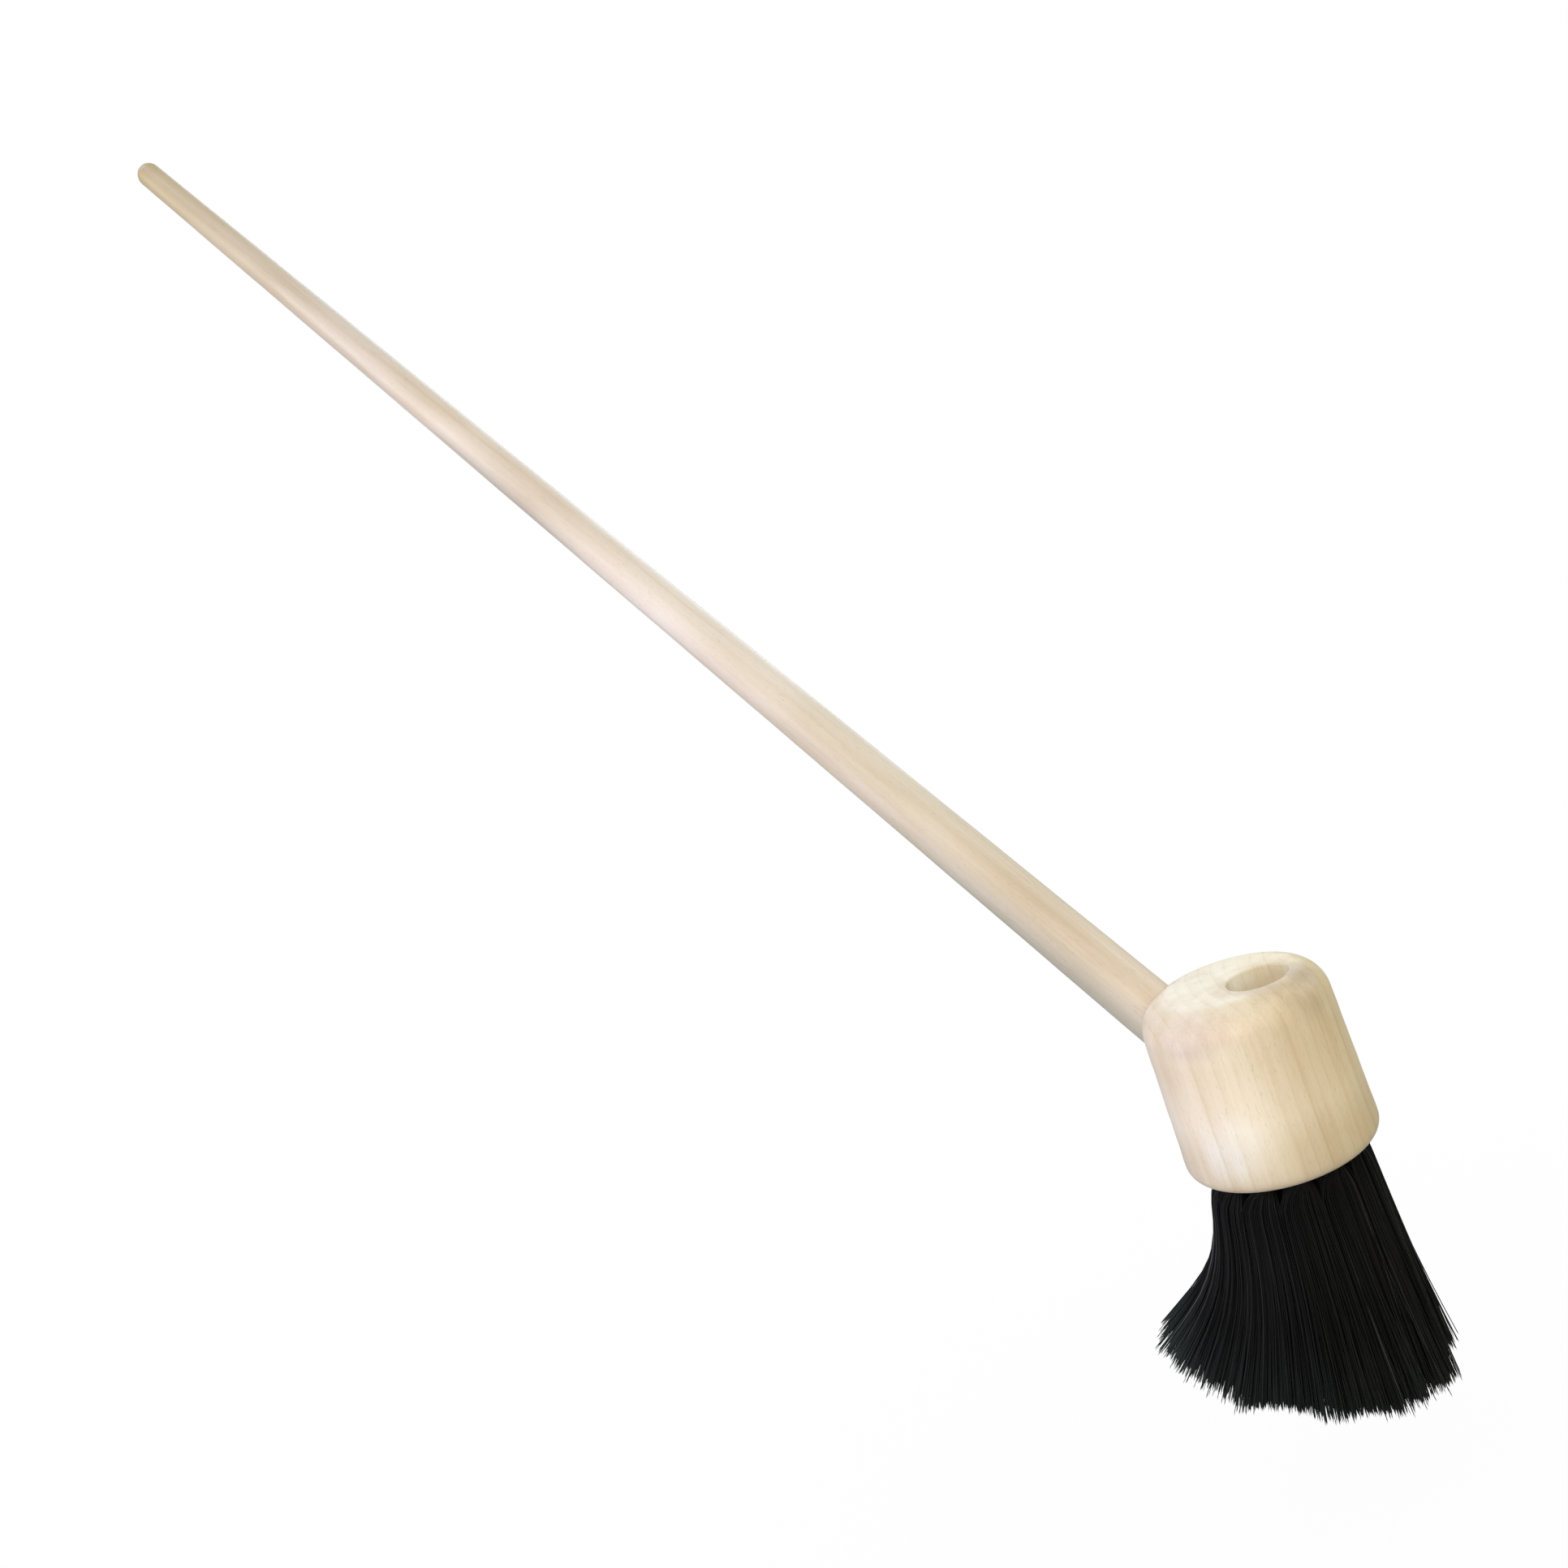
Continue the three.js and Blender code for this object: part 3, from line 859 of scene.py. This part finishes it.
def bristle_material():
    """Dull black bristle: a few strands worn grey, painted shade at the roots, and a painted sheen on the
    tips on the side that bends.
    """
    n = Nodes("black_bristle")
    shade_value = n.add("ShaderNodeAttribute", attribute_name="strand_shade").outputs["Fac"]
    along = n.add("ShaderNodeAttribute", attribute_name="strand_along").outputs["Fac"]
    colour = n.ramp(
        shade_value,
        [
            (0.0, (0.005, 0.005, 0.0052)),
            (0.90, (0.0108, 0.0108, 0.0108)),
            (0.98, (0.012, 0.0117, 0.0115)),
            (0.99, (0.035, 0.0345, 0.034)),
            (1.0, (0.10, 0.10, 0.098)),
        ],
    )
    place = n.add("ShaderNodeTexCoord").outputs["Object"]
    split = n.add("ShaderNodeSeparateXYZ")
    n.join(place, split.inputs[0])
    bent = n.maths("MULTIPLY", split.outputs["X"], -1 / BRISTLE_LENGTH)
    # Painted sheen: the tips on the side that bends are paler where they catch the light.
    towards_bend = n.ramp(bent, [(0.0, 0.25), (0.45, 0.3), (0.7, 1.0), (1.0, 1.0)])
    towards_tip = n.ramp(along, [(0.0, 0.0), (0.65, 0.0), (0.9, 0.8), (1.0, 1.0)])
    shaded_root = n.ramp(along, [(0.0, 0.3), (0.05, 0.4), (0.12, 0.6), (0.3, 1.0), (1.0, 1.0)])
    colour = n.mix(1.0, colour, shaded_root, "MULTIPLY")
    colour = n.mix(n.maths("MULTIPLY", towards_bend, towards_tip), colour, (0.040, 0.052, 0.048))
    n.join(colour, n.shader.inputs["Base Color"])
    scales = n.noise(n.mapping(place, scale=(2000, 2000, 500)), detail=2)
    n.join(n.ramp(scales, [(0.3, 0.5), (0.7, 0.7)]), n.shader.inputs["Roughness"])
    n.shader.inputs["Specular IOR Level"].default_value = 0.15
    n.join(n.bump(scales, 0.2, 0.02 * MM), n.shader.inputs["Normal"])
    return n.material


def make_bristle():
    material = bristle_material()
    for node in TUFT_NODES:
        name = node.replace("tuft_", "bristle_")
        mesh = strand_mesh(name, tuft_strands(node))
        mesh.materials.append(material)
        tuft = add_object(name, mesh)
        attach(tuft, "head")
        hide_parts(node)


# ------------------------------------------------------------------ staples


def finish_staples():
    material = steel_wire()
    for node in STAPLE_NODES:
        obj = frame["nodes"][node]
        obj.data.materials.clear()
        obj.data.materials.append(material)


# ------------------------------------------------------------------ studio

FLOOR_GAP = 40 * MM
FLOOR_RADIUS = 30.0
FLOOR_THICKNESS = 10 * MM
FLOOR_SEGMENTS = 96


def make_floor():
    """A plain floor that the camera sees as nearly pure white, a touch darker under the bristle."""
    profile = [(0, 0), (FLOOR_RADIUS, 0), (FLOOR_RADIUS, FLOOR_THICKNESS), (0, FLOOR_THICKNESS)]
    mesh = turned_mesh("floor", profile, FLOOR_SEGMENTS)
    floor = add_object("floor", mesh)
    floor.location.z = FACE_Z - BRISTLE_LENGTH - FLOOR_GAP
    n = Nodes("white_floor")
    n.shader.inputs["Base Color"].default_value = (0.5, 0.5, 0.5, 1)
    n.shader.inputs["Roughness"].default_value = 0.9
    n.shader.inputs["Specular IOR Level"].default_value = 0.1
    glow = n.add("ShaderNodeEmission")
    glow.inputs["Color"].default_value = (1, 1, 1, 1)
    glow.inputs["Strength"].default_value = 1.0
    middle = n.add("ShaderNodeVectorMath", operation="LENGTH")
    n.join(n.add("ShaderNodeTexCoord").outputs["Object"], middle.inputs[0])
    fade = n.ramp(middle.outputs["Value"], [(0.0, 0.97), (0.08, 0.98), (0.3, 1.0), (1.0, 1.0)])
    seen = n.maths("MULTIPLY", n.add("ShaderNodeLightPath").outputs["Is Camera Ray"], fade)
    mixed = n.add("ShaderNodeMixShader")
    n.join(seen, mixed.inputs["Fac"])
    n.join(n.shader.outputs[0], mixed.inputs[1])
    n.join(glow.outputs[0], mixed.inputs[2])
    n.join(mixed.outputs[0], n.tree.nodes["Material Output"].inputs["Surface"])
    mesh.materials.append(n.material)


def make_world():
    """White behind the object, and a softer light with a faint yellow-green tint all round it."""
    world = bpy.data.worlds.new("studio")
    world.use_nodes = True
    tree = world.node_tree
    tree.nodes.clear()
    seen = tree.nodes.new("ShaderNodeBackground")
    seen.inputs["Color"].default_value = (1, 1, 1, 1)
    seen.inputs["Strength"].default_value = 1.0
    around = tree.nodes.new("ShaderNodeBackground")
    around.inputs["Color"].default_value = (0.94, 1.0, 0.87, 1)
    around.inputs["Strength"].default_value = 0.53
    path = tree.nodes.new("ShaderNodeLightPath")
    mixed = tree.nodes.new("ShaderNodeMixShader")
    output = tree.nodes.new("ShaderNodeOutputWorld")
    tree.links.new(path.outputs["Is Camera Ray"], mixed.inputs["Fac"])
    tree.links.new(around.outputs[0], mixed.inputs[1])
    tree.links.new(seen.outputs[0], mixed.inputs[2])
    tree.links.new(mixed.outputs[0], output.inputs["Surface"])
    bpy.context.scene.world = world


def direction(azimuth, elevation):
    """Unit vector from the object towards a viewer; azimuth 0 is on -Y and 90 on +X."""
    a, e = math.radians(azimuth), math.radians(elevation)
    return Vector((math.sin(a) * math.cos(e), -math.cos(a) * math.cos(e), math.sin(e)))


def softbox(name, target, azimuth, elevation, distance, size, power, colour):
    """A square area light that faces the target."""
    data = bpy.data.lights.new(name, "AREA")
    data.shape = "SQUARE"
    data.size = size
    data.energy = power
    data.color = colour
    lamp = bpy.data.objects.new(name, data)
    back = direction(azimuth, elevation)
    lamp.location = target + back * distance
    lamp.rotation_mode = "QUATERNION"
    lamp.rotation_quaternion = (-back).to_track_quat("-Z", "Y")
    lamp.visible_camera = False
    bpy.context.scene.collection.objects.link(lamp)


def make_lights():
    """A window light and a warmer lamp in front, fill from every side, and a small card for a gleam."""
    middle = Vector((-50 * MM, 0, 0))
    low_front = Vector((0.3 * FOOT_RADIUS, -0.9 * FOOT_RADIUS, FACE_Z + 0.45 * HEAD_HEIGHT))
    softbox("window", middle, -40, 30, distance=1.5, size=0.7, power=5.8, colour=(1.0, 1.0, 0.93))
    softbox("lamp", middle, 30, 30, distance=1.5, size=0.7, power=7.2, colour=(1.0, 0.82, 0.72))
    softbox("low_card", middle, -45, -5, distance=0.8, size=0.4, power=1.8, colour=(0.53, 0.53, 1.0))
    softbox("right", middle, 80, 10, distance=1.5, size=0.7, power=1.4, colour=(1.0, 0.72, 0.35))
    softbox("sky", middle, -70, 68, distance=1.5, size=0.7, power=5.0, colour=(0.4, 0.55, 1.0))
    softbox("back", middle, 205, 28, distance=1.3, size=0.8, power=4.6, colour=(0.68, 0.82, 1.0))
    softbox("edge", middle, 140, 30, distance=1.4, size=0.6, power=4.2, colour=(0.9, 0.94, 1.0))
    softbox("gleam", low_front, 8, -14, distance=0.085, size=0.035, power=0.018, colour=(0.78, 0.92, 1.0))


# ------------------------------------------------------------------ camera

# Where the camera stands, as seen from the middle of the bristle face, and which way it looks, in
# degrees. The lens and the sensor are in millimetres.
CAMERA_AZIMUTH = 31.55
CAMERA_ELEVATION = 23.63
CAMERA_DISTANCE = 571.5 * MM
LOOK_AZIMUTH = 42.49
LOOK_ELEVATION = 8.08
CAMERA_ROLL = -21.15
LENS = 41.93
SENSOR = 36.0


def make_camera():
    """The camera stands close to the head, so that the handle runs away from it."""
    data = bpy.data.cameras.new("camera")
    data.sensor_width = SENSOR
    data.lens = LENS
    data.clip_start = 0.01
    data.clip_end = 100
    camera = bpy.data.objects.new("camera", data)
    bristle_face = Vector((0, 0, FACE_Z))
    camera.location = bristle_face + direction(CAMERA_AZIMUTH, CAMERA_ELEVATION) * CAMERA_DISTANCE
    look = -direction(LOOK_AZIMUTH, LOOK_ELEVATION)
    roll = Quaternion((0, 0, 1), math.radians(CAMERA_ROLL))
    camera.rotation_mode = "QUATERNION"
    camera.rotation_quaternion = look.to_track_quat("-Z", "Y") @ roll
    bpy.context.scene.collection.objects.link(camera)
    bpy.context.scene.camera = camera


# ------------------------------------------------------------------ everything together

make_head()
make_handle()
make_bristle()
finish_staples()
make_floor()
make_world()
make_lights()
make_camera()
bpy.context.scene.view_settings.view_transform = "Standard"
